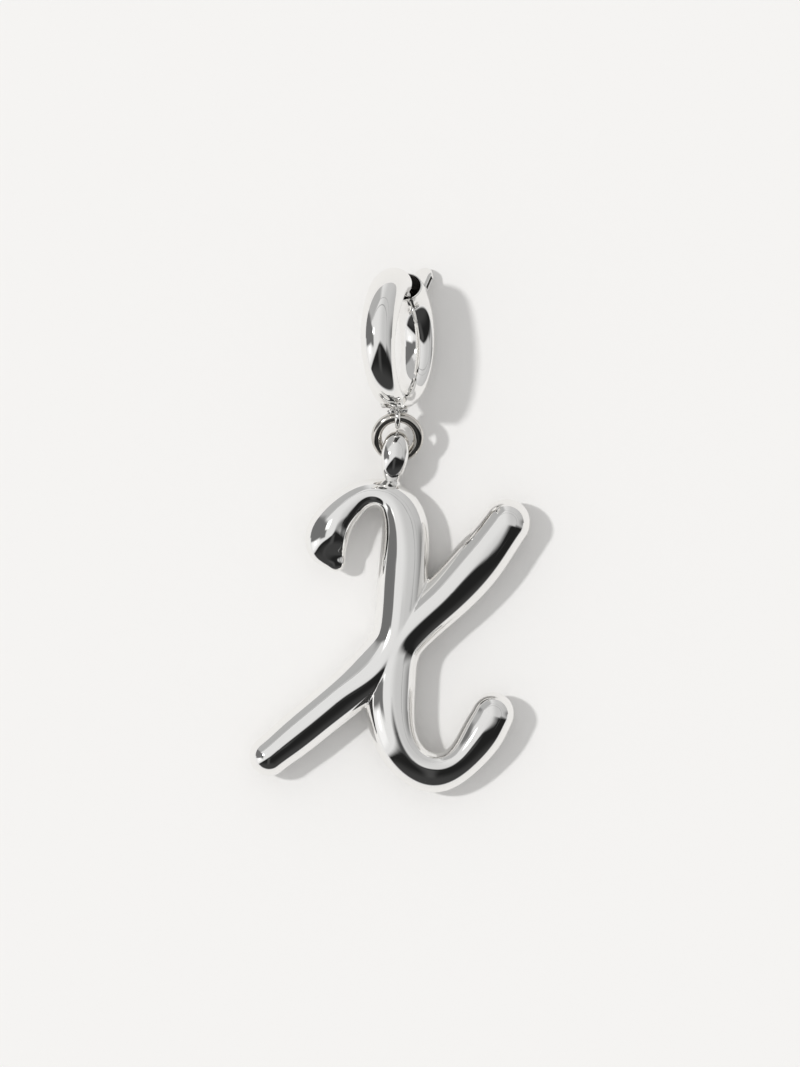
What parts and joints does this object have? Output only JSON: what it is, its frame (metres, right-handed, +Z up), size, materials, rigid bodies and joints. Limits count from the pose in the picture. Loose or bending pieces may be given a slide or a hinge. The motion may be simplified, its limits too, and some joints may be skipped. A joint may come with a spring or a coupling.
{
  "type": "initial pendant",
  "caption": "Puffed script letter charm with a soldered bail, a round jump ring and an oval clip ring that opens on a hinge.",
  "frame": {"origin": "on the ground under the middle of the lying pendant", "axes": "+Y from the letter's foot to the clip ring, +Z up from the surface it lies on, +X to the right as the letter is read"},
  "size_m": [0.0252, 0.0472, 0.0114],
  "materials": {
    "letter_silver": "high polish sterling silver",
    "clip_silver": "high polish sterling silver",
    "wire_silver": "polished sterling silver wire"
  },
  "bodies": {
    "pendant": {"initial": "letter_silver", "jump_ring": "wire_silver", "clip_body": "clip_silver", "hinge_pin": "wire_silver"},
    "gate": {"clip_gate": "clip_silver"}
  },
  "joints": [
    {"name": "gate_hinge", "type": "hinge", "parent": "pendant", "child": "gate", "pos_m": [0.00027, 0.01152, 0.00669], "axis": [0.9272, 0, 0.3746], "range_deg": [0, 40]}
  ]
}
